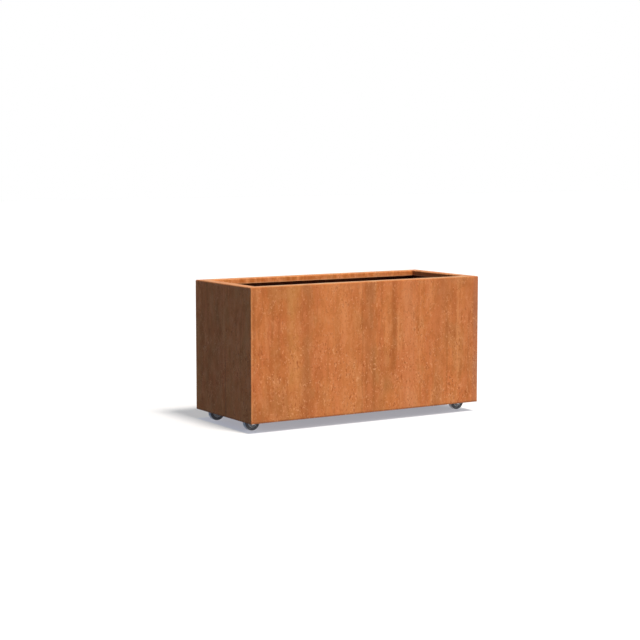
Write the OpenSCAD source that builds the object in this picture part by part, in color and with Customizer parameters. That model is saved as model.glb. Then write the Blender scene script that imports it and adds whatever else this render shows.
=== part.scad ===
// Rolling planter: a welded box of weathering steel sheet with a folded rim, on four swivel castors.
// Millimetres. X runs along the length, Y from front to back, Z up from the ground under the wheels.

/* [Box] */
// Outside length of the box, left to right
box_l = 1200; // [900:10:2000]
// Outside depth of the box, front to back
box_d = 500; // [440:10:900]
// Height of the walls, from their bottom edge to the top of the rim
wall_h = 583; // [300:1:900]
// Height of the walls' bottom edge above the ground
ground_gap = 44; // [25:1:70]
// Thickness of the wall sheet
sheet_t = 3; // [2:0.5:4]
// Outside radius of the folds in the wall sheet
fold_r = 5; // [4.5:0.5:8]
// Width of the rim, which is folded inwards
rim_w = 50; // [30:1:80]
// Height of the lip, which is folded down from the rim
lip_h = 24; // [14:1:40]
// Leg of the weld bead in each inside corner
weld_leg = 5; // [3:0.5:7]

/* [Floor] */
// Thickness of the floor plate
floor_t = 3; // [2:0.5:6]
// Diameter of the drain holes
drain_d = 16; // [8:1:30]
// Distance between neighbouring drain holes, along the length
drain_pitch_x = 240; // [80:5:280]
// Distance between the two rows of drain holes
drain_pitch_y = 120; // [60:5:180]
// Drain holes in each row
drain_count = 4; // [2:1:4]
// Leg of the angle strips that carry the floor
angle_leg = 20; // [12:1:22]
// Thickness of the angle strips
angle_t = 3; // [2:0.5:4]
// Width of the stiffening rails under the floor
rail_w = 60; // [30:1:80]
// Height of the stiffening rails
rail_h = 30; // [15:1:40]
// Thickness of the rail sheet
rail_t = 3; // [2:0.5:4]
// Outside radius of the rails' folds
rail_r = 5; // [4.5:0.5:8]

/* [Castor places] */
// Distance from an end of the box to the swivel axes
pivot_in_x = 82.5; // [80:0.5:120]
// Distance from the front or back of the box to the swivel axes
pivot_in_y = 92.5; // [80:0.5:130]
// Length of the castor pads, which are welded under the floor
pad_l = 110; // [95:1:114]
// Width of the castor pads
pad_w = 100; // [85:1:120]
// Thickness of the castor pads
pad_t = 5; // [3:0.5:10]

/* [Castor] */
// Height of a castor, ground to the top of its plate
castor_h = 100; // [98:0.5:110]
// Length of the castor plate
plate_l = 77; // [77:1:90]
// Width of the castor plate
plate_w = 67; // [67:1:80]
// Thickness of the castor plate
plate_t = 2.5; // [2:0.1:4]
// Corner radius of the castor plate
plate_r = 8; // [3:0.5:10]
// Distance between the plate's bolt holes, along its length
hole_pitch_x = 61; // [60:0.5:62]
// Distance between the plate's bolt holes, across its width
hole_pitch_y = 51; // [50:0.5:52]
// Distance from the swivel axis to the axle
trail = 30; // [24:0.5:32]
// Diameter of the wheel
wheel_d = 75; // [65:1:78]
// Width of the tyre
tyre_w = 22; // [16:0.5:25]
// Shoulder radius of the tyre
tyre_r = 5; // [2:0.5:7]
// Diameter of the wheel centre that carries the tyre
hub_d = 45; // [38:1:50]
// Distance between the fork's legs, inside
fork_gap = 28; // [27:0.5:30]
// Thickness of the fork's legs
fork_t = 2.5; // [2:0.1:3]
// Radius of the fork's end round the axle
fork_end_r = 12; // [9:0.5:14]
// Diameter of the axle bolt
axle_d = 8; // [6:0.5:8]
// Outside diameter of the axle sleeve that the wheel turns on
sleeve_d = 12; // [11:0.5:14]

/* [Swivel bearing] */
// Outside radius of the races, above and on the fork's crown
crown_r = 26; // [24.5:0.5:27]
// Thickness of the fork's crown
crown_t = 3.5; // [3.2:0.1:4]
// Diameter of the upper ball circle
upper_race_d = 39; // [36:0.5:40]
// Diameter of the upper balls
upper_ball_d = 5; // [4:0.5:5]
// Diameter of the lower ball circle
lower_race_d = 19; // [18.5:0.5:20]
// Diameter of the lower balls
lower_ball_d = 3.5; // [3:0.1:3.6]
// Diameter of the kingpin
pin_d = 10; // [8:0.5:10.5]

/* [Bolts] */
// Diameter of the castor bolts
bolt_d = 8; // [6:0.5:8]
// Width across the flats of bolt heads and nuts
hex_af = 13; // [10:0.5:13]
// Height of a bolt head
head_h = 5.3; // [4:0.1:6]
// Height of a nut
nut_h = 6.5; // [5:0.1:8]
// Outside diameter of a washer
washer_d = 16; // [14:0.5:17]
// Thickness of a washer
washer_t = 1.6; // [1:0.1:2]

/* [Hidden] */
$fn = 64;
slack = 1;          // how far a cutter runs past what it cuts
hole_play = 0.4;    // a bolt hole over its bolt, on the diameter
nut_play = 0.1;     // a nut's bore over its bolt, on the diameter
sleeve_play = 0.1;  // the wheel centre's bore over the sleeve, on the diameter
race_play = 0.1;    // a ball to its groove
side_play = 0.3;    // the wheel centre to each leg of the fork
thread_end = 2;     // a bolt's end past its nut
swing_room = 5;     // a rail's end to the circle that the wheel sweeps
weld_room = 1;      // floor parts to the weld beads and to each other

// Box
inner_l = box_l - 2 * sheet_t;
inner_d = box_d - 2 * sheet_t;
top_z = ground_gap + wall_h;
weld_h = wall_h - fold_r;

// Floor, from the castor plates up
pad_z = castor_h;
floor_z = pad_z + pad_t;
floor_top = floor_z + floor_t;
floor_corner = weld_leg + weld_room;

// Castor places: name, side in X, side in Y
pivot_x = box_l / 2 - pivot_in_x;
pivot_y = box_d / 2 - pivot_in_y;
CASTORS = [["front_left", -1, -1], ["front_right", 1, -1], ["back_right", 1, 1], ["back_left", -1, 1]];

// Castor, heights from the ground
axle_z = wheel_d / 2;
plate_z = castor_h - plate_t;
race_h = 4.5;                                   // upper race ring, under the plate
race_z = plate_z - race_h;
upper_gap = 2;                                  // upper race ring to the crown
crown_top = race_z - upper_gap;
crown_z = crown_top - crown_t;
lower_gap = 1.5;                                // crown to the lower race
lower_race_t = 3;
lower_race_z = crown_z - lower_gap - lower_race_t;
pin_head_h = 2.5;
pin_head_d = pin_d + 6;
lower_race_od = fork_gap - 2;                   // stays inside the fork's legs
crown_hole_d = pin_d + 3;
upper_ring_id = upper_race_d - 2 * upper_ball_d - 2;
upper_ball_z = (race_z + crown_top) / 2;
lower_ball_z = crown_z - lower_gap / 2;
upper_ball_count = 16;
lower_ball_count = 10;
fork_w = fork_gap + 2 * fork_t;
fork_shoulder = 5;                              // outside radius between crown and legs
fork_front_x = -20;
fork_back_x = 22;
fork_front_z = crown_top - 9;
fork_back_z = crown_top - 13;
swing_r = norm([trail + wheel_d / 2, tyre_w / 2]);

// Wheel
hub_w = fork_gap - 2 * side_play;
hub_bore_d = sleeve_d + sleeve_play;
hub_boss_d = sleeve_d + 7;
hub_rim_t = 3.5;
hub_rim_w = tyre_w - 2;
hub_web_t = 6;
hub_key_h = 2;
hub_key_w = 8;
hub_ribs = 8;
hub_rib_t = 2;
hub_rib_w = hub_rim_w - 4;

// Bolt stack: head, washer, plate, pad, floor, washer, nut
bolt_head_z = plate_z - washer_t - head_h;
bolt_nut_z = floor_top + washer_t;
bolt_top = bolt_nut_z + nut_h + thread_end;
axle_nut_h = nut_h + 1.5;

// Rails stop short of the wheels' sweep
rail_l = 2 * (pivot_x - max(swing_r, pad_l / 2) - swing_room);

CORTEN = "#c07040";
CORTEN_DARK = "#7a4a30";
STEEL = "#6a4634";
ZINC = "#b4b8bc";
RUBBER = "#333336";
HUB_GREY = "#8a8c90";

CASTOR_PARTS = ["plate", "kingpin", "lower_race", "balls", "fork", "axle_sleeve", "axle_bolt", "axle_nut",
                "wheel_hub", "tyre"];

// ---- Shared shapes ----

// Lays a profile drawn in (inwards, up) along X, centred.
module along_x(length) {
    rotate([90, 0, 90]) linear_extrude(height = length, center = true) children();
}

// Revolves a profile drawn in (radius, along) round the Y axis.
module round_y() {
    rotate([-90, 0, 0]) rotate_extrude() children();
}

// A quarter of a bent sheet: the fold's centre at the origin, bulging to (sx, sy).
module fold(r, t, sx, sy) {
    intersection() {
        difference() {
            circle(r);
            circle(r - t);
        }
        translate([sx > 0 ? 0 : -r - slack, sy > 0 ? 0 : -r - slack]) square(r + slack);
    }
}

// The four bolt holes or bolts of a castor plate.
module at_plate_holes() {
    for (x = [-1, 1], y = [-1, 1])
        translate([x * hole_pitch_x / 2, y * hole_pitch_y / 2, 0]) children();
}

// A castor's own frame: swivel axis on Z, wheel trailing outwards, to the nearer end of the box.
module at_castor(c) {
    translate([c[1] * pivot_x, c[2] * pivot_y, 0])
        rotate([0, 0, c[1] > 0 ? 0 : 180]) children();
}

module hex(height) {
    cylinder(h = height, d = hex_af / cos(30), $fn = 6);
}

// A ring of round section, for a ball race.
module race_groove(race_d, ball_d) {
    rotate_extrude() translate([race_d / 2, 0]) circle(d = ball_d + 2 * race_play, $fn = 48);
}

module ball_ring(race_d, ball_d, count) {
    for (i = [0 : count - 1])
        rotate([0, 0, i * 360 / count]) translate([race_d / 2, 0, 0]) sphere(d = ball_d, $fn = 32);
}

// Where the line from p touches the circle round c: side +1 or -1 picks which of the two.
function tangent(p, c, r, side) =
    let (v = p - c, a = atan2(v[1], v[0]) + side * acos(r / norm(v))) c + r * [cos(a), sin(a)];

// ---- Box ----

// Section of a wall: the wall, the rim folded inwards and the lip folded down.
module wall_section() {
    square([sheet_t, wall_h - fold_r]);
    translate([fold_r, wall_h - fold_r]) fold(fold_r, sheet_t, -1, 1);
    translate([fold_r, wall_h - sheet_t]) square([rim_w - 2 * fold_r, sheet_t]);
    translate([rim_w - fold_r, wall_h - fold_r]) fold(fold_r, sheet_t, 1, 1);
    translate([rim_w - sheet_t, wall_h - lip_h]) square([sheet_t, lip_h - fold_r]);
}

// One wall of the given length, outer face on y = 0, its ends mitred at 45 degrees.
module wall(length) {
    half = length / 2;
    color(CORTEN) translate([0, 0, ground_gap]) intersection() {
        along_x(length) wall_section();
        linear_extrude(height = wall_h)
            polygon([[-half, 0], [half, 0], [half - rim_w, rim_w], [-half + rim_w, rim_w]]);
    }
}

module front_panel() { translate([0, -box_d / 2, 0]) wall(box_l); }
module back_panel() { rotate([0, 0, 180]) front_panel(); }
module left_panel() { rotate([0, 0, -90]) translate([0, -box_l / 2, 0]) wall(box_d); }
module right_panel() { rotate([0, 0, 180]) left_panel(); }

// Fillet beads up the four inside corners, to the fold under the rim.
module corner_welds() {
    color(CORTEN_DARK) for (x = [-1, 1], y = [-1, 1])
        translate([x * inner_l / 2, y * inner_d / 2, ground_gap])
            linear_extrude(height = weld_h)
                polygon([[0, 0], [-x * weld_leg, 0], [0, -y * weld_leg]]);
}

// ---- Floor ----

module floor_plate() {
    color(STEEL) translate([0, 0, floor_z]) difference() {
        linear_extrude(height = floor_t) difference() {
            square([inner_l, inner_d], center = true);
            for (x = [-1, 1], y = [-1, 1])
                translate([x * inner_l / 2, y * inner_d / 2]) rotate(45)
                    square(sqrt(2) * floor_corner, center = true);
        }
        for (i = [0 : drain_count - 1], y = [-1, 1])
            translate([(i - (drain_count - 1) / 2) * drain_pitch_x, y * drain_pitch_y / 2, -slack])
                cylinder(h = floor_t + 2 * slack, d = drain_d);
        for (c = CASTORS) at_castor(c) at_plate_holes()
            translate([0, 0, -slack]) cylinder(h = floor_t + 2 * slack, d = bolt_d + hole_play);
    }
}

// An angle strip under the floor, back to a wall whose inner face is y = 0.
module floor_angle(length) {
    color(STEEL) translate([0, 0, floor_z - angle_leg]) along_x(length) {
        square([angle_t, angle_leg]);
        translate([0, angle_leg - angle_t]) square([angle_leg, angle_t]);
    }
}

module front_floor_angle() {
    translate([0, -inner_d / 2, 0]) floor_angle(inner_l - 2 * floor_corner);
}
module back_floor_angle() { rotate([0, 0, 180]) front_floor_angle(); }
module left_floor_angle() {
    rotate([0, 0, -90]) translate([0, -inner_l / 2, 0])
        floor_angle(inner_d - 2 * (angle_leg + weld_room));
}
module right_floor_angle() { rotate([0, 0, 180]) left_floor_angle(); }

// Section of a stiffening rail: a channel with its open side up, against the floor.
module rail_section() {
    half = rail_w / 2;
    for (s = [-1, 1]) {
        translate([s > 0 ? half - rail_t : -half, rail_r]) square([rail_t, rail_h - rail_r]);
        translate([s * (half - rail_r), rail_r]) fold(rail_r, rail_t, s, -1);
    }
    translate([-half + rail_r, 0]) square([rail_w - 2 * rail_r, rail_t]);
}

module floor_rail(side) {
    color(STEEL) translate([0, side * pivot_y, floor_z - rail_h]) along_x(rail_l) rail_section();
}

// Plates that spread each castor's load, welded under the floor.
module castor_pads() {
    color(STEEL) for (c = CASTORS) at_castor(c) translate([0, 0, pad_z]) difference() {
        translate([-pad_l / 2, -pad_w / 2, 0]) cube([pad_l, pad_w, pad_t]);
        at_plate_holes() translate([0, 0, -slack])
            cylinder(h = pad_t + 2 * slack, d = bolt_d + hole_play);
    }
}

// ---- Castor bolts, from below, with their nuts inside the box ----

module castor_bolts() {
    color(ZINC) for (c = CASTORS) at_castor(c) at_plate_holes() translate([0, 0, bolt_head_z]) {
        hex(head_h);
        cylinder(h = bolt_top - bolt_head_z, d = bolt_d);
    }
}

module castor_washers() {
    color(ZINC) for (c = CASTORS) at_castor(c) at_plate_holes()
        for (z = [plate_z - washer_t, floor_top])
            translate([0, 0, z]) difference() {
                cylinder(h = washer_t, d = washer_d);
                translate([0, 0, -slack]) cylinder(h = washer_t + 2 * slack, d = bolt_d + hole_play);
            }
}

module castor_nuts() {
    color(ZINC) for (c = CASTORS) at_castor(c) at_plate_holes()
        translate([0, 0, bolt_nut_z]) difference() {
            hex(nut_h);
            translate([0, 0, -slack]) cylinder(h = nut_h + 2 * slack, d = bolt_d + nut_play);
        }
}

// ---- Castor: what is fixed to the box ----

// Top plate with the upper ball race pressed under it.
module castor_plate() {
    color(ZINC) difference() {
        union() {
            translate([0, 0, plate_z]) linear_extrude(height = plate_t) plate_outline();
            translate([0, 0, race_z]) cylinder(h = race_h, r = crown_r);
        }
        translate([0, 0, race_z - slack]) cylinder(h = race_h + slack, d = upper_ring_id);
        translate([0, 0, upper_ball_z]) race_groove(upper_race_d, upper_ball_d);
        at_plate_holes() translate([0, 0, plate_z - slack])
            cylinder(h = plate_t + 2 * slack, d = bolt_d + hole_play);
        translate([0, 0, plate_z - slack]) cylinder(h = plate_t + 2 * slack, d = pin_d);
    }
}

module plate_outline() {
    inset_l = plate_l / 2 - plate_r;
    inset_w = plate_w / 2 - plate_r;
    square([plate_l, 2 * inset_w], center = true);
    square([2 * inset_l, plate_w], center = true);
    for (x = [-1, 1], y = [-1, 1]) translate([x * inset_l, y * inset_w]) circle(plate_r);
}

// Rivet that holds the swivel together: flush in the plate, with a head under the lower race.
module kingpin() {
    color(ZINC) {
        translate([0, 0, lower_race_z]) cylinder(h = castor_h - lower_race_z, d = pin_d);
        translate([0, 0, lower_race_z - pin_head_h])
            cylinder(h = pin_head_h, d1 = pin_head_d - 2 * pin_head_h / 2, d2 = pin_head_d);
    }
}

module lower_race() {
    color(ZINC) difference() {
        translate([0, 0, lower_race_z]) cylinder(h = lower_race_t, d = lower_race_od);
        translate([0, 0, lower_race_z - slack]) cylinder(h = lower_race_t + 2 * slack, d = pin_d);
        translate([0, 0, lower_ball_z]) race_groove(lower_race_d, lower_ball_d);
    }
}

module bearing_balls() {
    color(ZINC) {
        translate([0, 0, upper_ball_z]) ball_ring(upper_race_d, upper_ball_d, upper_ball_count);
        translate([0, 0, lower_ball_z]) ball_ring(lower_race_d, lower_ball_d, lower_ball_count);
    }
}

// ---- Castor: what swivels ----

// Side view of a leg, in (x, z): from the crown down to the round end at the axle.
module leg_outline() {
    axle = [trail, axle_z];
    front = [fork_front_x, fork_front_z];
    back = [fork_back_x, fork_back_z];
    polygon([[fork_front_x, crown_top], front, tangent(front, axle, fork_end_r, 1),
             tangent(back, axle, fork_end_r, -1), back, [fork_back_x, crown_top]]);
    translate(axle) circle(fork_end_r);
}

// End view of the fork, in (y, z): an upside-down U with round shoulders.
module fork_section() {
    half = fork_w / 2;
    inner = fork_shoulder - fork_t;
    difference() {
        union() {
            translate([-half, 0]) square([fork_w, crown_top - fork_shoulder]);
            translate([-half + fork_shoulder, 0]) square([fork_w - 2 * fork_shoulder, crown_top]);
            for (s = [-1, 1])
                translate([s * (half - fork_shoulder), crown_top - fork_shoulder]) circle(fork_shoulder);
        }
        translate([-fork_gap / 2, -slack]) square([fork_gap, crown_z - inner + slack]);
        translate([-fork_gap / 2 + inner, -slack]) square([fork_gap - 2 * inner, crown_z + slack]);
        for (s = [-1, 1])
            translate([s * (fork_gap / 2 - inner), crown_z - inner]) circle(inner);
    }
}

module fork() {
    color(ZINC) difference() {
        union() {
            intersection() {
                translate([trail / 2, 0, 0]) along_x(3 * wheel_d) fork_section();
                rotate([90, 0, 0]) linear_extrude(height = 2 * fork_w, center = true) leg_outline();
            }
            translate([0, 0, crown_z]) cylinder(h = crown_t, r = crown_r);
        }
        translate([0, 0, crown_z - slack]) cylinder(h = crown_t + 2 * slack, d = crown_hole_d);
        translate([0, 0, upper_ball_z]) race_groove(upper_race_d, upper_ball_d);
        translate([0, 0, lower_ball_z]) race_groove(lower_race_d, lower_ball_d);
        translate([trail, 0, axle_z]) rotate([90, 0, 0])
            cylinder(h = 2 * fork_w, d = axle_d + hole_play, center = true);
    }
}

// Spacer tube that the nut clamps between the legs; the wheel turns on it.
module axle_sleeve() {
    color(ZINC) translate([trail, 0, axle_z]) rotate([90, 0, 0]) difference() {
        cylinder(h = fork_gap, d = sleeve_d, center = true);
        cylinder(h = fork_gap + 2 * slack, d = axle_d + hole_play, center = true);
    }
}

module axle_bolt() {
    color(ZINC) translate([trail, -fork_w / 2 - head_h, axle_z]) rotate([-90, 0, 0]) {
        hex(head_h);
        cylinder(h = head_h + fork_w + axle_nut_h + thread_end, d = axle_d);
    }
}

// Lock nut: a hexagon with a round collar.
module axle_nut() {
    collar_h = axle_nut_h - nut_h;
    color(ZINC) translate([trail, fork_w / 2, axle_z]) rotate([-90, 0, 0]) difference() {
        union() {
            hex(nut_h);
            cylinder(h = nut_h + collar_h, d = hex_af - 1.5);
        }
        translate([0, 0, -slack])
            cylinder(h = axle_nut_h + 2 * slack, d = axle_d + nut_play);
    }
}

// ---- Castor: what rolls ----

// Moulded wheel centre: boss, web, ribs and a rim with the ridge that keys the tyre.
module wheel_hub() {
    bore_r = hub_bore_d / 2;
    rim_r = hub_d / 2;
    color(HUB_GREY) translate([trail, 0, axle_z]) {
        round_y() {
            translate([bore_r, -hub_w / 2]) square([hub_boss_d / 2 - bore_r, hub_w]);
            translate([bore_r, -hub_web_t / 2]) square([rim_r - bore_r, hub_web_t]);
            translate([rim_r - hub_rim_t, -hub_rim_w / 2]) square([hub_rim_t, hub_rim_w]);
            translate([rim_r - slack, -hub_key_w / 2]) square([hub_key_h + slack, hub_key_w]);
        }
        for (i = [0 : hub_ribs - 1]) rotate([0, i * 360 / hub_ribs, 0])
            translate([hub_boss_d / 2 - slack, -hub_rib_w / 2, -hub_rib_t / 2])
                cube([rim_r - hub_rim_t - hub_boss_d / 2 + 2 * slack, hub_rib_w, hub_rib_t]);
    }
}

module tyre() {
    hub_r = hub_d / 2;
    wheel_r = wheel_d / 2;
    half = tyre_w / 2;
    color(RUBBER) translate([trail, 0, axle_z]) round_y() difference() {
        union() {
            translate([hub_r, -half]) square([wheel_r - tyre_r - hub_r, tyre_w]);
            translate([hub_r, -half + tyre_r]) square([wheel_r - hub_r, tyre_w - 2 * tyre_r]);
            for (s = [-1, 1]) translate([wheel_r - tyre_r, s * (half - tyre_r)]) circle(tyre_r);
        }
        translate([hub_r - slack, -hub_key_w / 2]) square([hub_key_h + slack, hub_key_w]);
    }
}

front_panel();
back_panel();
left_panel();
right_panel();
corner_welds();
floor_plate();
front_floor_angle();
back_floor_angle();
left_floor_angle();
right_floor_angle();
floor_rail(-1);  // front_floor_rail
floor_rail(1);  // back_floor_rail
castor_pads();
castor_bolts();
castor_washers();
castor_nuts();
for (c = CASTORS) {
    at_castor(c) castor_plate();
    at_castor(c) kingpin();
    at_castor(c) lower_race();
    at_castor(c) bearing_balls();
    at_castor(c) fork();
    at_castor(c) axle_sleeve();
    at_castor(c) axle_bolt();
    at_castor(c) axle_nut();
    at_castor(c) wheel_hub();
    at_castor(c) tyre();
}
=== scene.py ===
"""Rolling planter in weathering steel: the finish of every piece, built up in the order of assembly."""

import math

import bmesh
import bpy
from mathutils import Matrix, Vector


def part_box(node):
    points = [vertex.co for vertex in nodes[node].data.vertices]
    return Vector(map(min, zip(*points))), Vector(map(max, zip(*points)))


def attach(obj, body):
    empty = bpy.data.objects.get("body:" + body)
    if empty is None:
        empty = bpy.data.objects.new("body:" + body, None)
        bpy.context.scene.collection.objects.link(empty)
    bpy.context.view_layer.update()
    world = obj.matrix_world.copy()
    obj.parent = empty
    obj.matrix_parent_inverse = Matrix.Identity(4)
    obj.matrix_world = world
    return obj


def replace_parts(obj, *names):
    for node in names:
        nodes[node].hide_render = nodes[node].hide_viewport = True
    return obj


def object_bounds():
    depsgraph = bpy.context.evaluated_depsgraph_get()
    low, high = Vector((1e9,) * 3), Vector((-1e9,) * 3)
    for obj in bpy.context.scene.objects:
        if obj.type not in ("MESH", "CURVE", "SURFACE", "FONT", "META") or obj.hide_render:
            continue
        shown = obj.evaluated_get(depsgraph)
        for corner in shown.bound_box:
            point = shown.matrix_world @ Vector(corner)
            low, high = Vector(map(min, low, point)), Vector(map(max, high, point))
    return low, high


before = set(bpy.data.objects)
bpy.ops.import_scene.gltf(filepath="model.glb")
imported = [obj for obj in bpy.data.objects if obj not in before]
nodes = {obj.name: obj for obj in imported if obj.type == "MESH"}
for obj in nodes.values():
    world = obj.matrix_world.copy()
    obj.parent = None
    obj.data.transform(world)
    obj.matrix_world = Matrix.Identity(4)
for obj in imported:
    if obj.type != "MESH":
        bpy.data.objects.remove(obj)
cad_box = [list(corner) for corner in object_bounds()]


# ---- The four walls ----
# Weathering steel sheet, 3 mm thick, folded at the top into a rim with a lip and mitred at the corners. Left
# out in the rain until it rusted: a dry, matt, orange-brown skin that rain has drawn into bands, with flakes
# and specks of younger, brighter rust and dark pits. Its edges are painted a little paler: partly rubbed
# wear, partly a painted highlight.


def paint(hex_code):
    """Turns an sRGB hex colour into the linear colour that shaders take."""
    parts = [int(hex_code[i : i + 2], 16) / 255 for i in (1, 3, 5)]
    return [p / 12.92 if p <= 0.04045 else ((p + 0.055) / 1.055) ** 2.4 for p in parts] + [1.0]


def add(tree, kind, inputs=None, **settings):
    """Adds a shader node with its settings, and fills its inputs with values or links. Returns the node.

    Inputs go by name or by number. On a MapRange node, 0 is the value, 1 and 2 the range it comes from, and 3
    and 4 the range it goes to. On a Mix node, 0 is the share of colour 7 that is laid over colour 6.
    """
    made = tree.nodes.new("ShaderNode" + kind)
    for name, value in settings.items():
        setattr(made, name, value)
    for name, value in (inputs or {}).items():
        if isinstance(value, bpy.types.NodeSocket):
            tree.links.new(value, made.inputs[name])
        else:
            made.inputs[name].default_value = value
    return made


def new_material(name):
    """Starts a material with one shader on its output. Returns the material, its tree and the shader."""
    material = bpy.data.materials.new(name)
    material.use_nodes = True
    tree = material.node_tree
    tree.nodes.clear()
    shader = add(tree, "BsdfPrincipled")
    add(tree, "OutputMaterial", {"Surface": shader.outputs[0]})
    return material, tree, shader


def dress(name, material):
    """Gives a carried-over solid its finish."""
    solid = nodes[name]
    solid.data.materials.clear()
    solid.data.materials.append(material)


half_length, half_depth, rim_height = cad_box[1]
skirt_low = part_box("front_panel")[0].z
sheet = 0.003
rim_width = 0.050
lip_edge = rim_height - 0.024

corten, tree, shader = new_material("weathering_steel_rusted_by_rain")
shader.inputs["Metallic"].default_value = 0.0
shader.inputs["IOR"].default_value = 1.5
place = add(tree, "TexCoord").outputs["Object"]
axes = add(tree, "SeparateXYZ", {0: place}).outputs

# Each pattern's size on the sheet in metres, across the wall and down it, and how many finer levels it has.
# Zones are where whole bands of the sheet wetted alike, and hues where the rust set redder or more olive.
# Runs and threads are trickles. Patches are where the crust is thicker, and clouds and grain the rust itself.
# Flakes, specks and pits are longer downwards, as the water ran. Crystals are the finest grit, about 0.2 mm,
# drawn at 1.7 mm because it wouldn't show.
PATTERNS = {
    "zones": (0.150, 1.400, 2.0),
    "hues": (0.070, 0.190, 3.0),
    "runs": (0.030, 0.360, 4.0),
    "threads": (0.012, 0.150, 3.0),
    "patches": (0.075, 0.110, 3.0),
    "clouds": (0.032, 0.060, 5.0),
    "grain": (0.012, 0.017, 3.0),
    "specks": (0.0088, 0.0125, 4.0),
    "pits": (0.0092, 0.0140, 4.0),
    "crystals": (0.0017, 0.0020, 3.0),
    "flakes": (0.0180, 0.0260, 3.0),
}
pattern = {}
for i, (name, (across, down, detail)) in enumerate(PATTERNS.items()):
    apart = (i * 1.7, i * 2.3, i * 3.1)
    stretched = add(tree, "Mapping", {"Vector": place, "Location": apart,
                                      "Scale": (1 / across, 1 / across, 1 / down)})
    pattern[name] = add(tree, "TexNoise", {"Vector": stretched.outputs[0], "Scale": 1.0, "Detail": detail,
                                           "Roughness": 0.55}).outputs["Fac"]

# Rust colours, from the ground tone up: (pattern, low, high, colour, how much). Low and high are the
# pattern's values between which the colour comes in.
tone = add(tree, "ValToRGB", {0: pattern["zones"]})
ramp = tone.color_ramp
ramp.elements[0].position, ramp.elements[0].color = 0.34, paint("#C46C2E")
ramp.elements[1].position, ramp.elements[1].color = 0.66, paint("#D17838")
for at, colour in ((0.46, "#C97032"), (0.55, "#CD7334")):
    ramp.elements.new(at).color = paint(colour)
rust = tone.outputs[0]
STAINS = [
    ("hues", 0.50, 0.62, "#BC7E42", 0.38),
    ("hues", 0.50, 0.38, "#CA6838", 0.28),
    ("runs", 0.53, 0.68, "#A8581A", 0.50),
    ("runs", 0.47, 0.32, "#DE8C50", 0.48),
    ("threads", 0.55, 0.72, "#DC8A4C", 0.20),
    ("threads", 0.45, 0.28, "#A65618", 0.22),
    ("clouds", 0.53, 0.64, "#AA561A", 0.34),
    ("clouds", 0.47, 0.36, "#DC8A4E", 0.36),
]
for name, low, high, colour, amount in STAINS:
    share = add(tree, "MapRange", {0: pattern[name], 1: low, 2: high, 3: 0.0, 4: amount},
                interpolation_type="SMOOTHSTEP").outputs[0]
    rust = add(tree, "Mix", {0: share, 6: rust, 7: paint(colour)}, data_type="RGBA").outputs[2]

# Bands and trickles that are on one wall only: (place along the wall, width, bottom and top in metres,
# colour, how much). FOOT and RIM lie past the wall's edges, so that a mark runs off them.
FOOT, RIM = -0.20, 0.90
MARKS = {
    "front": [
        # The first band is a painted highlight along the front wall's left corner.
        (-0.597, 0.014, FOOT, RIM, "#DD8F53", 0.45),
        (-0.584, 0.018, FOOT, RIM, "#AA591E", 0.34),
        (-0.493, 0.065, FOOT, RIM, "#A85D29", 0.08),
        (-0.385, 0.070, FOOT, RIM, "#D18B45", 0.36),
        (-0.322, 0.065, FOOT, RIM, "#A85D29", 0.32),
        (-0.186, 0.010, FOOT, RIM, "#A85D29", 0.24),
        (-0.150, 0.230, FOOT, RIM, "#DD8444", 0.36),
        (-0.036, 0.012, FOOT, RIM, "#A0500E", 0.34),
        (0.004, 0.072, FOOT, RIM, "#A25723", 0.42),
        (0.060, 0.110, FOOT, 0.36, "#A26529", 0.32),
        (0.095, 0.040, 0.20, RIM, "#DB8947", 0.28),
        (0.137, 0.028, 0.10, RIM, "#A0500E", 0.46),
        (0.216, 0.090, FOOT, RIM, "#DC8450", 0.36),
        (0.384, 0.080, FOOT, RIM, "#A85D29", 0.22),
        (0.430, 0.160, 0.26, RIM, "#A45422", 0.22),
        (-0.440, 0.500, FOOT, 0.20, "#A0561E", 0.20),
        (-0.566, 0.070, 0.40, RIM, "#A0561E", 0.22),
        (-0.566, 0.070, FOOT, 0.14, "#A0561E", 0.24),
        (-0.335, 0.080, FOOT, 0.16, "#A0561E", 0.24),
        (0.112, 0.090, FOOT, 0.16, "#E27C38", 0.26),
        (0.411, 0.090, 0.44, RIM, "#BC5A1E", 0.16),
        (0.488, 0.016, 0.05, 0.62, "#E19353", 0.20),
        (0.550, 0.080, FOOT, RIM, "#A85D29", 0.26),
        (0.590, 0.040, FOOT, RIM, "#9E6856", 0.30),
    ],
    "left": [
        (0.115, 0.200, FOOT, RIM, "#8E5525", 0.18),
        (0.036, 0.075, 0.05, RIM, "#8E5525", 0.28),
        (-0.022, 0.013, FOOT, 0.36, "#70401E", 0.34),
        (-0.140, 0.200, -0.10, RIM, "#D07C44", 0.16),
    ],
    "back": [
        (-0.240, 0.020, 0.15, RIM, "#90511E", 0.42),
        (0.310, 0.110, 0.00, 0.40, "#9C632B", 0.30),
        (-0.060, 0.160, FOOT, RIM, "#DD8449", 0.32),
    ],
    "right": [
        (-0.090, 0.018, 0.10, RIM, "#90511E", 0.42),
        (0.110, 0.120, FOOT, RIM, "#DD8449", 0.30),
    ],
}
# A mark is full within 0.18 of its width from its middle, and gone at 0.62. It fades in over 150 mm at its
# foot and over 60 mm at its top. It wanders sideways by up to 6 mm, and comes and goes with the hues.
CORE, EDGE = 0.18, 0.62
FOOT_FADE, TOP_FADE = 0.15, 0.06
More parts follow.
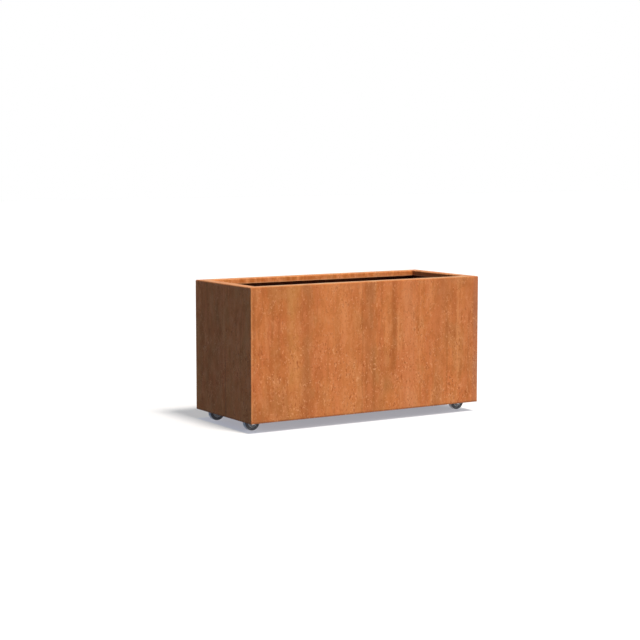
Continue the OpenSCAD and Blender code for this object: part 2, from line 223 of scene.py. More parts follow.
# Which axis each wall runs along, which it faces, and to which side. MIDDLE is the middle of the sheet.
WALLS = {
    "front": ("X", "Y", -1.0),
    "left": ("Y", "X", -1.0),
    "back": ("X", "Y", 1.0),
    "right": ("Y", "X", 1.0),
}
MIDDLE = {"X": half_length - sheet / 2, "Y": half_depth - sheet / 2}
wander = add(tree, "MapRange", {0: pattern["clouds"], 3: -0.006, 4: 0.006}).outputs[0]
broken = add(tree, "MapRange", {0: pattern["hues"], 1: 0.35, 2: 0.65, 3: 0.50, 4: 1.50}).outputs[0]
for wall, (along, facing, side) in WALLS.items():
    shifted = add(tree, "Math", {0: axes[along], 1: wander}, operation="ADD").outputs[0]
    outward = add(tree, "Math", {0: axes[facing], 1: side}, operation="MULTIPLY").outputs[0]
    on_wall = add(tree, "Math", {0: outward, 1: MIDDLE[facing]}, operation="GREATER_THAN").outputs[0]
    for at, width, bottom, top, colour, amount in MARKS[wall]:
        off = add(tree, "Math", {0: shifted, 1: at}, operation="SUBTRACT").outputs[0]
        off = add(tree, "Math", {0: off}, operation="ABSOLUTE").outputs[0]
        near = add(tree, "MapRange", {0: off, 1: width * EDGE, 2: width * CORE, 3: 0.0, 4: amount},
                   interpolation_type="SMOOTHSTEP").outputs[0]
        low_end = add(tree, "MapRange", {0: axes["Z"], 1: bottom, 2: bottom + FOOT_FADE},
                      interpolation_type="SMOOTHSTEP").outputs[0]
        high_end = add(tree, "MapRange", {0: axes["Z"], 1: top, 2: top - TOP_FADE},
                       interpolation_type="SMOOTHSTEP").outputs[0]
        for part in (low_end, high_end, on_wall, broken):
            near = add(tree, "Math", {0: near, 1: part}, operation="MULTIPLY").outputs[0]
        rust = add(tree, "Mix", {0: near, 6: rust, 7: paint(colour)}, data_type="RGBA").outputs[2]

# The walls are painted darker over their lowest 9 mm, most of all at the bottom edge.
darker_bottom_edge = add(tree, "MapRange", {0: axes["Z"], 1: skirt_low + 0.009, 2: skirt_low + 0.003, 3: 0.0, 4: 0.62},
           interpolation_type="SMOOTHSTEP").outputs[0]
rust = add(tree, "Mix", {0: darker_bottom_edge, 6: rust, 7: paint("#6E3E1E")}, data_type="RGBA").outputs[2]

# The crust itself lies over the bands. Flakes have a dark middle and a bright rim that is chipped away here
# and there. They crowd in patches, and more of them sit low on the wall, where the ground splashes it. Each
# row ends with what its colour is kept to.
splashed = add(tree, "MapRange", {0: axes["Z"], 1: 0.50, 2: 0.26, 3: 0.74, 4: 1.00},
               interpolation_type="SMOOTHSTEP").outputs[0]
crowd = add(tree, "MapRange", {0: pattern["patches"], 1: 0.42, 2: 0.60, 3: 0.36, 4: 1.0}).outputs[0]
crowd = add(tree, "Math", {0: crowd, 1: splashed}, operation="MULTIPLY").outputs[0]
chipped = add(tree, "MapRange", {0: pattern["grain"], 1: 0.47, 2: 0.55}).outputs[0]
CRUST = [
    ("grain", 0.55, 0.68, "#AA5214", 0.24, ()),
    ("crystals", 0.52, 0.64, "#A44C12", 0.10, ()),
    ("crystals", 0.48, 0.36, "#E4A066", 0.10, ()),
    ("flakes", 0.570, 0.60, "#E8A266", 0.50, (crowd, chipped)),
    ("flakes", 0.605, 0.64, "#A85018", 0.66, (crowd,)),
    ("specks", 0.590, 0.650, "#EAA66C", 0.52, (crowd,)),
    ("pits", 0.585, 0.645, "#A64A10", 0.74, (crowd,)),
]
for name, low, high, colour, amount, kept_to in CRUST:
    share = add(tree, "MapRange", {0: pattern[name], 1: low, 2: high, 3: 0.0, 4: amount},
                interpolation_type="SMOOTHSTEP").outputs[0]
    for part in kept_to:
        share = add(tree, "Math", {0: share, 1: part}, operation="MULTIPLY").outputs[0]
    rust = add(tree, "Mix", {0: share, 6: rust, 7: paint(colour)}, data_type="RGBA").outputs[2]

# How far inwards a point lies from the middle of the end walls, of the long walls, and of the nearer wall.
out_x = add(tree, "Math", {0: axes["X"]}, operation="ABSOLUTE").outputs[0]
out_y = add(tree, "Math", {0: axes["Y"]}, operation="ABSOLUTE").outputs[0]
in_x = add(tree, "Math", {0: MIDDLE["X"], 1: out_x}, operation="SUBTRACT").outputs[0]
in_y = add(tree, "Math", {0: MIDDLE["Y"], 1: out_y}, operation="SUBTRACT").outputs[0]
inwards = add(tree, "Math", {0: in_x, 1: in_y}, operation="MINIMUM").outputs[0]
within = add(tree, "Math", {0: inwards, 1: 0.0}, operation="GREATER_THAN").outputs[0]

# Inside, painted shade darkens the walls below the lip, less so further down, in streaks and with lighter
# specks in it.
below_lip = add(tree, "MapRange", {0: axes["Z"], 1: lip_edge + 0.004, 2: lip_edge - 0.014, 3: 0.0, 4: 0.94})
shade_fading_down = add(tree, "MapRange", {0: axes["Z"], 1: rim_height - 0.060, 2: rim_height - 0.200, 3: 1.0, 4: 0.62},
            interpolation_type="SMOOTHSTEP")
painted_inner_shade = within
for part in (below_lip, shade_fading_down):
    painted_inner_shade = add(tree, "Math", {0: painted_inner_shade, 1: part.outputs[0]}, operation="MULTIPLY").outputs[0]
shade_streaks = add(tree, "MapRange", {0: pattern["runs"], 1: 0.36, 2: 0.62},
             interpolation_type="SMOOTHSTEP").outputs[0]
shade_colour = add(tree, "Mix", {0: shade_streaks, 6: paint("#501804"), 7: paint("#2E0A00")}, data_type="RGBA").outputs[2]
shade_specks = add(tree, "MapRange", {0: pattern["specks"], 1: 0.54, 2: 0.62, 3: 0.0, 4: 0.45}).outputs[0]
shade_colour = add(tree, "Mix", {0: shade_specks, 6: shade_colour, 7: paint("#6C2E10")}, data_type="RGBA").outputs[2]
rust = add(tree, "Mix", {0: painted_inner_shade, 6: rust, 7: shade_colour}, data_type="RGBA").outputs[2]

# Bright blooms came out on the rim and the lips. The lips hang in the shade and rusted deeper, in clouds and
# most of all towards the right end. Their cut edge is rubbed paler.
above_lip_edge = add(tree, "Math", {0: axes["Z"], 1: lip_edge}, operation="GREATER_THAN").outputs[0]
bloom = add(tree, "MapRange", {0: pattern["flakes"], 1: 0.54, 2: 0.62, 3: 0.0, 4: 0.62}).outputs[0]
shade = add(tree, "MapRange", {0: pattern["clouds"], 1: 0.42, 2: 0.58, 3: 0.0, 4: 0.70}).outputs[0]
lee = add(tree, "MapRange", {0: axes["X"], 1: 0.35, 2: 0.56, 3: 0.0, 4: 0.88}).outputs[0]
sheltered = add(tree, "Math", {0: shade, 1: lee}, operation="MAXIMUM").outputs[0]
below_flat = add(tree, "MapRange", {0: axes["Z"], 1: rim_height - 0.002, 2: rim_height - 0.006}).outputs[0]
sheltered = add(tree, "Math", {0: sheltered, 1: below_flat}, operation="MULTIPLY").outputs[0]
cut = add(tree, "MapRange", {0: axes["Z"], 1: lip_edge + 0.007, 2: lip_edge + 0.002, 3: 0.0, 4: 0.34})
for share, colour in ((bloom, "#EA9450"), (sheltered, "#B65E10"), (cut.outputs[0], "#DCA070")):
    for part in (within, above_lip_edge):
        share = add(tree, "Math", {0: share, 1: part}, operation="MULTIPLY").outputs[0]
    rust = add(tree, "Mix", {0: share, 6: rust, 7: paint(colour)}, data_type="RGBA").outputs[2]

# The mitres of the rim are welded and ground flush, which leaves a darker line about 2 mm wide.
gap = add(tree, "Math", {0: in_x, 1: in_y}, operation="SUBTRACT").outputs[0]
gap = add(tree, "Math", {0: gap}, operation="ABSOLUTE").outputs[0]
seam = add(tree, "MapRange", {0: gap, 1: 0.0022, 2: 0.0012, 3: 0.0, 4: 0.6}).outputs[0]
on_rim = add(tree, "Math", {0: axes["Z"], 1: rim_height - 0.002}, operation="GREATER_THAN").outputs[0]
seam = add(tree, "Math", {0: seam, 1: on_rim}, operation="MULTIPLY").outputs[0]
rust = add(tree, "Mix", {0: seam, 6: rust, 7: paint("#8A5432")}, data_type="RGBA").outputs[2]

# The outer folds are painted darker, as painted shade on their rounding. On the folds to the lips it hardly
# shows.
upright = add(tree, "SeparateXYZ", {0: add(tree, "TexCoord").outputs["Normal"]}).outputs["Z"]
fold_shade = add(tree, "MapRange", {0: upright, 1: 0.05, 2: 0.50, 3: 0.0, 4: 0.40}).outputs[0]
outer = add(tree, "MapRange", {0: inwards, 1: rim_width - 0.003, 2: rim_width - 0.008, 3: 0.10, 4: 1.0})
fold_shade = add(tree, "Math", {0: fold_shade, 1: outer.outputs[0]}, operation="MULTIPLY").outputs[0]
rust = add(tree, "Mix", {0: fold_shade, 6: rust, 7: paint("#92521E")}, data_type="RGBA").outputs[2]

# On the flat of the rim a duller, less red colour is painted in patches, as a painted sheen. On the two short
# rims it is about half as strong.
flat = add(tree, "MapRange", {0: upright, 1: 0.80, 2: 0.98}).outputs[0]
painted_sheen = add(tree, "MapRange", {0: pattern["patches"], 1: 0.36, 2: 0.64, 3: 0.32, 4: 0.82}).outputs[0]
gritty = add(tree, "MapRange", {0: pattern["crystals"], 1: 0.35, 2: 0.65, 3: 1.0, 4: 0.70}).outputs[0]
short_rims_weaker = add(tree, "MapRange", {0: in_x, 1: rim_width + 0.010, 2: rim_width - 0.005, 3: 1.0, 4: 0.55})
for part in (gritty, short_rims_weaker.outputs[0]):
    painted_sheen = add(tree, "Math", {0: painted_sheen, 1: part}, operation="MULTIPLY").outputs[0]
flat = add(tree, "Math", {0: flat, 1: painted_sheen}, operation="MULTIPLY").outputs[0]
rust = add(tree, "Mix", {0: flat, 6: rust, 7: paint("#BC9466")}, data_type="RGBA").outputs[2]

# Where an edge turns within 1.5 mm, the skin is painted paler: partly rubbed wear, partly a painted highlight
# on the rounding.
turned = add(tree, "Bevel", {"Radius": 0.0015}, samples=4).outputs[0]
straight = add(tree, "NewGeometry").outputs["Normal"]
alike = add(tree, "VectorMath", {0: turned, 1: straight}, operation="DOT_PRODUCT").outputs["Value"]
edge_wear_and_highlight = add(tree, "MapRange", {0: alike, 1: 0.99, 2: 0.88, 3: 0.0, 4: 0.11}).outputs[0]
rust = add(tree, "Mix", {0: edge_wear_and_highlight, 6: rust, 7: paint("#DFA072")}, data_type="RGBA").outputs[2]
tree.links.new(rust, shader.inputs["Base Color"])

# Rust is matt all over. Crystals and specks stand up from it by a fraction of a millimetre, and pits go in.
rough = add(tree, "MapRange", {0: pattern["clouds"], 1: 0.3, 2: 0.7, 3: 0.80, 4: 0.95}).outputs[0]
tree.links.new(rough, shader.inputs["Roughness"])
height = add(tree, "Math", {0: pattern["crystals"], 1: pattern["specks"]}, operation="ADD").outputs[0]
height = add(tree, "Math", {0: height, 1: pattern["pits"]}, operation="SUBTRACT").outputs[0]
bump = add(tree, "Bump", {"Strength": 0.45, "Distance": 0.0008, "Height": height, "Normal": turned})
tree.links.new(bump.outputs[0], shader.inputs["Normal"])

for name in ("front_panel", "back_panel", "left_panel", "right_panel"):
    dress(name, corten)


# ---- Corner welds ----
# MIG beads, leg 5 mm, run up the inside of each corner from the skirt to the rim. The wire's ripples stay
# in the bead, and it has rusted with the sheet.


def skin(mesh, rings, ends="closed"):
    """Joins equal rings of points into a skin. Its two ends are closed, left open or joined to each other."""
    made = [[mesh.verts.new(point) for point in ring] for ring in rings]
    if ends == "joined":
        made.append(made[0])
    count = len(made[0])
    for one, other in zip(made, made[1:]):
        for k in range(count):
            n = (k + 1) % count
            mesh.faces.new((one[k], one[n], other[n], other[k]))
    if ends == "closed":
        mesh.faces.new(reversed(made[0]))
        mesh.faces.new(made[-1])


def lay_bead(mesh, start, end, one_way, other_way, leg, ripple):
    """Lays a weld bead from start to end, in the corner between faces that leave it one way and the other.

    It swells and narrows with each ripple, rounds out between its legs, and is thin at both ends.
    """
    start, end, one_way, other_way = Vector(start), Vector(end), Vector(one_way), Vector(other_way)
    run = end - start
    steps = max(6, round(run.length / ripple * 5))
    rings = []
    for i in range(steps + 1):
        s = i / steps
        wave = abs(math.sin(math.pi * s * run.length / ripple + 0.6 * math.sin(37 * s)))
        thin = min(1.0, 0.35 + i / 4, 0.35 + (steps - i) / 4)
        size = leg * (0.84 + 0.16 * wave) * thin
        at = start + run * s
        ring = [at]
        for k in range(6):
            turn = k / 5 * math.pi / 2
            bulge = 0.80 + 0.20 * abs(math.cos(2 * turn))
            ring.append(at + size * bulge * (one_way * math.cos(turn) + other_way * math.sin(turn)))
        rings.append(ring)
    skin(mesh, rings)


def finish_piece(mesh, name, material, body):
    """Turns a bmesh into a smooth piece with sharp edges, which rides on a body. Returns the piece."""
    bmesh.ops.recalc_face_normals(mesh, faces=mesh.faces)
    data = bpy.data.meshes.new(name)
    mesh.to_mesh(data)
    mesh.free()
    data.shade_smooth()
    data.set_sharp_from_angle(angle=math.radians(35))
    data.materials.append(material)
    piece = bpy.data.objects.new(name, data)
    bpy.context.scene.collection.objects.link(piece)
    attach(piece, body)
    return piece


inner_x, inner_y = half_length - sheet, half_depth - sheet
weld_low, weld_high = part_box("corner_welds")
weld_leg, weld_ripple = 0.005, 0.005
beads = bmesh.new()
for sx in (-1, 1):
    for sy in (-1, 1):
        corner = (sx * inner_x, sy * inner_y)
        lay_bead(beads, (*corner, weld_low.z), (*corner, weld_high.z), (-sx, 0, 0), (0, -sy, 0),
                 weld_leg, weld_ripple)
corner_beads = finish_piece(beads, "corner_weld_beads", corten, "planter")
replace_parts(corner_beads, "corner_welds")


# ---- Floor, its angles, rails and castor pads ----
# Hot-rolled mild steel: 3 mm plate with drain holes, on angle strips, with folded rails and pads under it.
# It rusts darker and duller than the walls, with brown-black mill scale left between the rusty places.
mild_steel, tree, shader = new_material("hot_rolled_steel_with_mill_scale")
place = add(tree, "TexCoord").outputs["Object"]
blotch = add(tree, "TexNoise", {"Vector": place, "Scale": 1 / 0.070, "Detail": 5.0,
                                "Roughness": 0.6}).outputs["Fac"]
flakes = add(tree, "TexNoise", {"Vector": place, "Scale": 1 / 0.008, "Detail": 3.0,
                                "Roughness": 0.6}).outputs["Fac"]
rusty = add(tree, "MapRange", {0: blotch, 1: 0.40, 2: 0.58}, interpolation_type="SMOOTHSTEP").outputs[0]
colour = add(tree, "Mix", {0: rusty, 6: paint("#44362C"), 7: paint("#6E4028")}, data_type="RGBA").outputs[2]
flaked = add(tree, "MapRange", {0: flakes, 1: 0.56, 2: 0.68, 3: 0.0, 4: 0.6}).outputs[0]
colour = add(tree, "Mix", {0: flaked, 6: colour, 7: paint("#8E542E")}, data_type="RGBA").outputs[2]
tree.links.new(colour, shader.inputs["Base Color"])
rough = add(tree, "MapRange", {0: blotch, 1: 0.4, 2: 0.6, 3: 0.70, 4: 0.92}).outputs[0]
tree.links.new(rough, shader.inputs["Roughness"])
turned = add(tree, "Bevel", {"Radius": 0.0012}, samples=4).outputs[0]
bump = add(tree, "Bump", {"Strength": 0.4, "Distance": 0.0006, "Height": flakes, "Normal": turned})
tree.links.new(bump.outputs[0], shader.inputs["Normal"])

for name in ("floor_plate", "front_floor_angle", "back_floor_angle", "left_floor_angle", "right_floor_angle",
             "front_floor_rail", "back_floor_rail", "castor_pads"):
    dress(name, mild_steel)

# Stitch welds: 30 mm of bead every 150 mm, along the foot of each angle and both sides of each rail. The
# rails end short of the outermost ones.
stitch, stitch_every, stitch_leg, stitch_ripple = 0.030, 0.150, 0.0028, 0.004
angle_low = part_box("front_floor_angle")[0].z
floor_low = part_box("floor_plate")[0].z
rail_reach = 0.44
stitches = bmesh.new()
for i in range(-3, 4):
    x = i * stitch_every
    for sy in (-1, 1):
        y = sy * inner_y
        lay_bead(stitches, (x - stitch / 2, y, angle_low), (x + stitch / 2, y, angle_low),
                 (0, -sy, 0), (0, 0, -1), stitch_leg, stitch_ripple)
    if abs(x) < rail_reach:
        for rail in ("front_floor_rail", "back_floor_rail"):
            low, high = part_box(rail)
            for edge, out in ((low.y, -1), (high.y, 1)):
                lay_bead(stitches, (x - stitch / 2, edge, floor_low), (x + stitch / 2, edge, floor_low),
                         (0, out, 0), (0, 0, -1), stitch_leg, stitch_ripple)
for y in (-stitch_every, 0.0, stitch_every):
    for sx in (-1, 1):
        x = sx * inner_x
        lay_bead(stitches, (x, y - stitch / 2, angle_low), (x, y + stitch / 2, angle_low),
                 (-sx, 0, 0), (0, 0, -1), stitch_leg, stitch_ripple)
finish_piece(stitches, "floor_stitch_welds", mild_steel, "planter")


# ---- Castor bolts, washers and nuts ----
# M8 bolts, zinc-plated, up through the castor plate, pad and floor, with the nuts inside the box. Pressed
# hexagons with a 30 degree chamfer, and a rolled thread that shows past the nut.
zinc, tree, shader = new_material("bright_zinc_plate")
shader.inputs["Metallic"].default_value = 1.0
place = add(tree, "TexCoord").outputs["Object"]
cast = add(tree, "TexNoise", {"Vector": place, "Scale": 1 / 0.012, "Detail": 4.0,
                              "Roughness": 0.6}).outputs["Fac"]
drawn = add(tree, "TexNoise", {"Vector": place, "Scale": 1 / 0.0015, "Detail": 2.0}).outputs["Fac"]
dulled = add(tree, "MapRange", {0: cast, 1: 0.42, 2: 0.62}, interpolation_type="SMOOTHSTEP").outputs[0]
colour = add(tree, "Mix", {0: dulled, 6: paint("#CDD0D2"), 7: paint("#A3A6A8")}, data_type="RGBA").outputs[2]
tree.links.new(colour, shader.inputs["Base Color"])
rough = add(tree, "MapRange", {0: cast, 1: 0.35, 2: 0.65, 3: 0.28, 4: 0.48}).outputs[0]
tree.links.new(rough, shader.inputs["Roughness"])
turned = add(tree, "Bevel", {"Radius": 0.0006}, samples=4).outputs[0]
bump = add(tree, "Bump", {"Strength": 0.25, "Distance": 0.0001, "Height": drawn, "Normal": turned})
tree.links.new(bump.outputs[0], shader.inputs["Normal"])

# The thread's diameter and pitch, the hexagon across its flats and a bolt head's height, the radius of the
# round face that the chamfer leaves, and the chamfer's slope.
thread, pitch = 0.008, 0.00125
hexagon, head = 0.013, 0.0053
face = hexagon / 2 * 0.97
chamfer = math.tan(math.radians(30))


def round_ring(radius, height, points=48):
    """A round outline at a height."""
    turns = [2 * math.pi * k / points for k in range(points)]
    return [Vector((radius * math.cos(turn), radius * math.sin(turn), height)) for turn in turns]


def hexagon_ring(height, slope, points=48):
    """A hexagon's outline at a height. Its corners drop by the slope where the chamfer cuts them."""
    ring = []
    for k in range(points):
        turn = 2 * math.pi * k / points
        reach = hexagon / 2 / math.cos((turn % (math.pi / 3)) - math.pi / 6)
        ring.append(Vector((reach * math.cos(turn), reach * math.sin(turn), height - slope * (reach - face))))
    return ring


def add_bolt(mesh, place, total, thread_from):
    """Adds a hexagon bolt, head at its origin and shank along +Z, and moves it to its place."""
    r = thread / 2
    before = len(mesh.verts)
    skin(mesh, [round_ring(face, 0.0), hexagon_ring(0.0, -chamfer), hexagon_ring(head, 0.0),
                round_ring(face, head), round_ring(r, head), round_ring(r, thread_from)])
    rings = []
    steps = round((total - thread_from) / pitch * 8)
    for i in range(steps + 1):
        z = thread_from + (total - thread_from) * i / steps
        end_cut = 0.0008 if i >= steps - 1 else 0.0
        ring = []
        for k in range(24):
            turn = 2 * math.pi * k / 24
            part = (z / pitch - turn / (2 * math.pi)) % 1.0
            depth = 0.00045 * abs(2 * part - 1) + end_cut
            ring.append(Vector(((r - depth) * math.cos(turn), (r - depth) * math.sin(turn), z)))
        rings.append(ring)
    skin(mesh, rings)
    mesh.verts.ensure_lookup_table()
    bmesh.ops.transform(mesh, matrix=place, verts=mesh.verts[before:])


def add_nut(mesh, place, tall, collar=0.0):
    """Adds a hexagon nut from its origin up +Z, chamfered at both ends, with a round collar if it has one."""
    bore = thread / 2 - 0.0002
    mouth = bore + 0.0006
    before = len(mesh.verts)
    rings = [round_ring(bore, 0.0), round_ring(mouth, 0.0), round_ring(face, 0.0),
             hexagon_ring(0.0, -chamfer), hexagon_ring(tall, chamfer), round_ring(face, tall)]
    if collar:
        rings += [round_ring(face * 0.9, tall), round_ring(face * 0.9, tall + collar - 0.0005),
                  round_ring(face * 0.85, tall + collar), round_ring(bore + 0.0012, tall + collar)]
    else:
        rings.append(round_ring(mouth, tall))
    rings.append(round_ring(bore, tall + collar - 0.0006))
    skin(mesh, rings, "joined")
    mesh.verts.ensure_lookup_table()
    bmesh.ops.transform(mesh, matrix=place, verts=mesh.verts[before:])


# Four bolts to a castor, on its plate's hole pattern. Each is turned as the spanner left it.
CASTORS = ("front_left", "front_right", "back_right", "back_left")
bolt_low, bolt_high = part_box("castor_bolts")
nut_low, nut_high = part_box("castor_nuts")
bolts, nuts = bmesh.new(), bmesh.new()
for castor in CASTORS:
    low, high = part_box(castor + "_plate")
    middle = (low + high) / 2
    for dx in (-0.0305, 0.0305):
        for dy in (-0.0255, 0.0255):
            twist = Matrix.Rotation(37 * (dx * 300 + dy * 170 + middle.x * 9), 4, "Z")
            hole = (middle.x + dx, middle.y + dy)
            add_bolt(bolts, Matrix.Translation((*hole, bolt_low.z)) @ twist, bolt_high.z - bolt_low.z, 0.014)
            add_nut(nuts, Matrix.Translation((*hole, nut_low.z)) @ twist, nut_high.z - nut_low.z)
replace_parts(finish_piece(bolts, "threaded_castor_bolts", zinc, "planter"), "castor_bolts")
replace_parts(finish_piece(nuts, "chamfered_castor_nuts", zinc, "planter"), "castor_nuts")
dress("castor_washers", zinc)


# ---- Castor plates, races, balls and kingpins ----
# Pressed steel with bright zinc plating. The balls are polished bearing steel with a film of grease, and the
# kingpin is peened over, which leaves its head bright.
bearing_steel, tree, shader = new_material("polished_bearing_steel")
shader.inputs["Metallic"].default_value = 1.0
place = add(tree, "TexCoord").outputs["Object"]
film = add(tree, "TexNoise", {"Vector": place, "Scale": 1 / 0.004, "Detail": 2.0}).outputs["Fac"]
colour = add(tree, "Mix", {0: film, 6: paint("#D8D9DA"), 7: paint("#B9B2A4")}, data_type="RGBA").outputs[2]
tree.links.new(colour, shader.inputs["Base Color"])
rough = add(tree, "MapRange", {0: film, 3: 0.08, 4: 0.22}).outputs[0]
tree.links.new(rough, shader.inputs["Roughness"])
for castor in CASTORS:
    for part in ("plate", "kingpin", "lower_race"):
        dress(f"{castor}_{part}", zinc)
    dress(castor + "_balls", bearing_steel)


# ---- Forks and axles ----
# The fork is pressed from 2.5 mm sheet and zinc-plated. An M8 bolt clamps a sleeve between its legs, with a
# lock nut whose nylon ring shows in the collar.
nylon, tree, shader = new_material("moulded_nylon_ring")
shader.inputs["IOR"].default_value = 1.53
place = add(tree, "TexCoord").outputs["Object"]
cloud = add(tree, "TexNoise", {"Vector": place, "Scale": 1 / 0.003, "Detail": 2.0}).outputs["Fac"]
colour = add(tree, "Mix", {0: cloud, 6: paint("#D9D6CB"), 7: paint("#BDB9AC")}, data_type="RGBA").outputs[2]
tree.links.new(colour, shader.inputs["Base Color"])
shader.inputs["Roughness"].default_value = 0.45

# The lock nut's hexagon under its collar, and the nylon ring's section: (radius, height in the nut).
lock_hexagon = 0.0065
NYLON = ((0.0040, 0.0068), (0.0050, 0.0068), (0.0050, 0.0078), (0.0040, 0.0078))
for castor in CASTORS:
    swivel = castor + "_swivel"
    dress(castor + "_fork", zinc)
    dress(castor + "_axle_sleeve", zinc)
    bolt_low, bolt_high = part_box(castor + "_axle_bolt")
    nut_low, nut_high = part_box(castor + "_axle_nut")
    middle = (bolt_low + bolt_high) / 2
    head_first = nut_low.y > middle.y
    turn = Matrix.Rotation(math.radians(-90 if head_first else 90), 4, "X")

    start = bolt_low.y if head_first else bolt_high.y
    at = Matrix.Translation((middle.x, start, middle.z)) @ turn
    axle = bmesh.new()
    add_bolt(axle, at, bolt_high.y - bolt_low.y, 0.030)
    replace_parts(finish_piece(axle, castor + "_threaded_axle", zinc, swivel), castor + "_axle_bolt")

    start = nut_low.y if head_first else nut_high.y
    at = Matrix.Translation((middle.x, start, middle.z)) @ turn
    lock = bmesh.new()
    add_nut(lock, at, lock_hexagon, nut_high.y - nut_low.y - lock_hexagon)
    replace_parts(finish_piece(lock, castor + "_lock_nut", zinc, swivel), castor + "_axle_nut")

    ring = bmesh.new()
    skin(ring, [[at @ point for point in round_ring(radius, height, 32)] for radius, height in NYLON], "open")
    finish_piece(ring, castor + "_nylon_ring", nylon, swivel)


# ---- Wheels ----
# A moulded grey polypropylene centre with ribs, and a solid dark rubber tyre round it. The tyre has a
# moulder's parting line round the tread, two shallow grooves, and a sunk ring in each side. Its tread is
# painted pale: partly dust and wear, partly a painted highlight.
polypropylene, tree, shader = new_material("moulded_grey_polypropylene")
shader.inputs["IOR"].default_value = 1.49
place = add(tree, "TexCoord").outputs["Object"]
dust = add(tree, "TexNoise", {"Vector": place, "Scale": 1 / 0.010, "Detail": 4.0,
                              "Roughness": 0.6}).outputs["Fac"]
spark = add(tree, "TexNoise", {"Vector": place, "Scale": 1 / 0.0009, "Detail": 1.0}).outputs["Fac"]
colour = add(tree, "Mix", {0: dust, 6: paint("#B2B4B8"), 7: paint("#C2BFB9")}, data_type="RGBA").outputs[2]
tree.links.new(colour, shader.inputs["Base Color"])
rough = add(tree, "MapRange", {0: dust, 3: 0.38, 4: 0.60}).outputs[0]
tree.links.new(rough, shader.inputs["Roughness"])
turned = add(tree, "Bevel", {"Radius": 0.0006}, samples=4).outputs[0]
bump = add(tree, "Bump", {"Strength": 0.3, "Distance": 0.0001, "Height": spark, "Normal": turned})
tree.links.new(bump.outputs[0], shader.inputs["Normal"])

rubber, tree, shader = new_material("solid_dark_rubber")
shader.inputs["IOR"].default_value = 1.52
spot = add(tree, "TexCoord").outputs
place = spot["Object"]
bloom = add(tree, "TexNoise", {"Vector": place, "Scale": 1 / 0.014, "Detail": 5.0,
                               "Roughness": 0.65}).outputs["Fac"]
grain = add(tree, "TexNoise", {"Vector": place, "Scale": 1 / 0.0012, "Detail": 2.0}).outputs["Fac"]
dusty = add(tree, "MapRange", {0: bloom, 1: 0.45, 2: 0.70, 3: 0.0, 4: 0.7}).outputs[0]
colour = add(tree, "Mix", {0: dusty, 6: paint("#505053"), 7: paint("#716D68")}, data_type="RGBA").outputs[2]
# Where the tyre's normal turns from the axle towards the tread, it is painted paler: dust and wear, and a
# painted highlight.
aside = add(tree, "SeparateXYZ", {0: spot["Normal"]}).outputs["Y"]
aside = add(tree, "Math", {0: aside}, operation="ABSOLUTE").outputs[0]
tread_dust_and_highlight = add(tree, "MapRange", {0: aside, 1: 0.85, 2: 0.45, 3: 0.0, 4: 0.95},
            interpolation_type="SMOOTHSTEP").outputs[0]
colour = add(tree, "Mix", {0: tread_dust_and_highlight, 6: colour, 7: paint("#D8D6D2")}, data_type="RGBA").outputs[2]
tree.links.new(colour, shader.inputs["Base Color"])
rough = add(tree, "MapRange", {0: bloom, 3: 0.50, 4: 0.80}).outputs[0]
tree.links.new(rough, shader.inputs["Roughness"])
bump = add(tree, "Bump", {"Strength": 0.4, "Distance": 0.0002, "Height": grain})
tree.links.new(bump.outputs[0], shader.inputs["Normal"])

# Half of the tyre's section, from the seat on the wheel centre to the middle of the tread: (radius, distance
# from the wheel's middle), in millimetres. The last two points of the whole section are the keyed seat.
TYRE_HALF = [
    (22.5, 4.0), (22.5, 11.0), (24.0, 11.0), (24.3, 10.7), (24.8, 10.5), (30.0, 10.5), (30.5, 10.7),
    (31.0, 11.0), (32.3, 11.0), (34.0, 10.6), (35.6, 9.7), (36.7, 8.2), (37.1, 6.6), (37.15, 5.2),
    (36.4, 5.0), (36.4, 4.3), (37.2, 4.1), (37.22, 1.0), (37.22, 0.35), (37.45, 0.15),
]
tyre_section = TYRE_HALF + [(r, -y) for r, y in reversed(TYRE_HALF)] + [(24.5, -4.0), (24.5, 4.0)]
round_tyre = [2 * math.pi * k / 128 for k in range(128)]
for castor in CASTORS:
    dress(castor + "_wheel_hub", polypropylene)
    low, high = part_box(castor + "_tyre")
    middle = (low + high) / 2
    band = bmesh.new()
    skin(band, [[middle + Vector((r * math.cos(turn), y, r * math.sin(turn))) / 1000 for r, y in tyre_section]
                for turn in round_tyre], "joined")
    tyre = finish_piece(band, castor + "_moulded_tyre", rubber, castor + "_wheel")
    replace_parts(tyre, castor + "_tyre")


# ---- Studio ----
# White paper under a key lamp high in front, softboxes in front and behind, a cool window to the left and a
# weak sky. To the camera and in reflections the paper shows in part by its own white, so that it stays white
# without throwing light on the walls. Under the planter it lights the castors as well.
ground = bmesh.new()
bmesh.ops.create_grid(ground, x_segments=1, y_segments=1, size=30)
data = bpy.data.meshes.new("studio_floor")
ground.to_mesh(data)
ground.free()
floor = bpy.data.objects.new("studio_floor", data)
bpy.context.scene.collection.objects.link(floor)
paper = bpy.data.materials.new("white_studio_paper")
paper.use_nodes = True
tree = paper.node_tree
tree.nodes.clear()
spot = add(tree, "SeparateXYZ", {0: add(tree, "TexCoord").outputs["Object"]}).outputs
inside = []
for axis, reach in (("X", half_length), ("Y", half_depth)):
    away = add(tree, "Math", {0: spot[axis]}, operation="ABSOLUTE").outputs[0]
    inside.append(add(tree, "Math", {0: away, 1: reach}, operation="LESS_THAN").outputs[0])
under = add(tree, "Math", {0: inside[0], 1: inside[1]}, operation="MINIMUM").outputs[0]
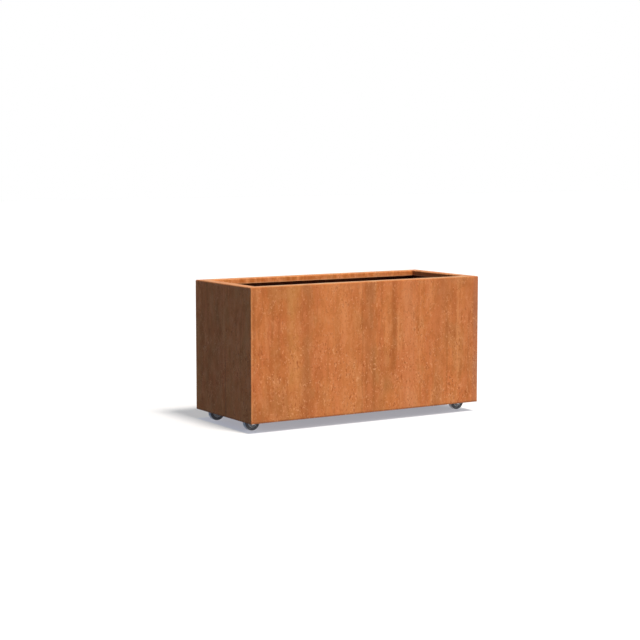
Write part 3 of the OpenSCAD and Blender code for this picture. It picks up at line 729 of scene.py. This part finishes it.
# Under the planter, where its shadow lies, the paper glows cooler, which paints a blue tint into that shadow.
warm_white, cool_white = (0.99, 0.97, 0.93, 1.0), (0.875, 0.885, 0.975, 1.0)
tint = add(tree, "Mix", {0: under, 6: warm_white, 7: cool_white}, data_type="RGBA").outputs[2]
glow = add(tree, "Emission", {"Color": tint, "Strength": 1.0}).outputs[0]
glow_share = add(tree, "MapRange", {0: under, 3: 0.370, 4: 0.365}).outputs[0]
seen_paper = add(tree, "BsdfDiffuse", {"Color": paint("#F6F0EA")}).outputs[0]
white = add(tree, "MixShader", {0: glow_share, 1: seen_paper, 2: glow}).outputs[0]
dim_paper = add(tree, "BsdfDiffuse", {"Color": paint("#3C4858")}).outputs[0]
ray = add(tree, "LightPath").outputs
seen = add(tree, "Math", {0: ray["Is Camera Ray"], 1: ray["Is Glossy Ray"]}, operation="MAXIMUM").outputs[0]
seen = add(tree, "Math", {0: seen, 1: under}, operation="MAXIMUM").outputs[0]
both = add(tree, "MixShader", {0: seen, 1: dim_paper, 2: white}).outputs[0]
add(tree, "OutputMaterial", {"Surface": both})
data.materials.append(paper)

# The sky is plain white to the camera and in reflections, and lights the planter weakly and coolly.
world = bpy.data.worlds.new("studio_sky")
bpy.context.scene.world = world
world.use_nodes = True
tree = world.node_tree
tree.nodes.clear()
ray = add(tree, "LightPath").outputs
seen = add(tree, "Math", {0: ray["Is Camera Ray"], 1: ray["Is Glossy Ray"]}, operation="MAXIMUM").outputs[0]
fill = add(tree, "Background", {"Color": (0.55, 0.78, 1.0, 1.0), "Strength": 0.16}).outputs[0]
white = add(tree, "Background", {"Color": (1.0, 1.0, 1.0, 1.0), "Strength": 1.0}).outputs[0]
both = add(tree, "MixShader", {0: seen, 1: fill, 2: white}).outputs[0]
add(tree, "OutputWorld", {"Surface": both})

# Each lamp: (name, colour, strength, then in degrees its size, its height, and its turn to the right of
# straight in front).
LAMPS = [
    ("key_lamp", "#FFFFFF", 3.34, 12, 65.5, 9),
    ("front_softbox", "#FFFFFF", 1.7, 60, 30, 35),
    ("left_window", "#5CA4FF", 0.59, 60, 18, -95),
    ("back_softbox", "#FFFFFF", 0.6, 60, 15, 165),
]
for name, colour, strength, size, height, turn in LAMPS:
    light = bpy.data.lights.new(name, "SUN")
    light.color = paint(colour)[:3]
    light.energy, light.angle = strength, math.radians(size)
    lamp = bpy.data.objects.new(name, light)
    bpy.context.scene.collection.objects.link(lamp)
    up, right = math.radians(height), math.radians(turn)
    toward = Vector((math.cos(up) * math.sin(right), -math.cos(up) * math.cos(right), math.sin(up)))
    lamp.rotation_euler = toward.to_track_quat("Z", "Y").to_euler()

# The camera stands where the photograph's perspective puts it.
lens = bpy.data.cameras.new("camera")
lens.lens = 90.49
lens.sensor_width = 36.0
camera = bpy.data.objects.new("camera", lens)
bpy.context.scene.collection.objects.link(camera)
camera.location = (-3.91655, -6.12914, 1.19690)
camera.rotation_euler = (math.radians(84.017), 0.0, math.radians(-31.906))
bpy.context.scene.camera = camera
bpy.context.scene.view_settings.view_transform = "Standard"
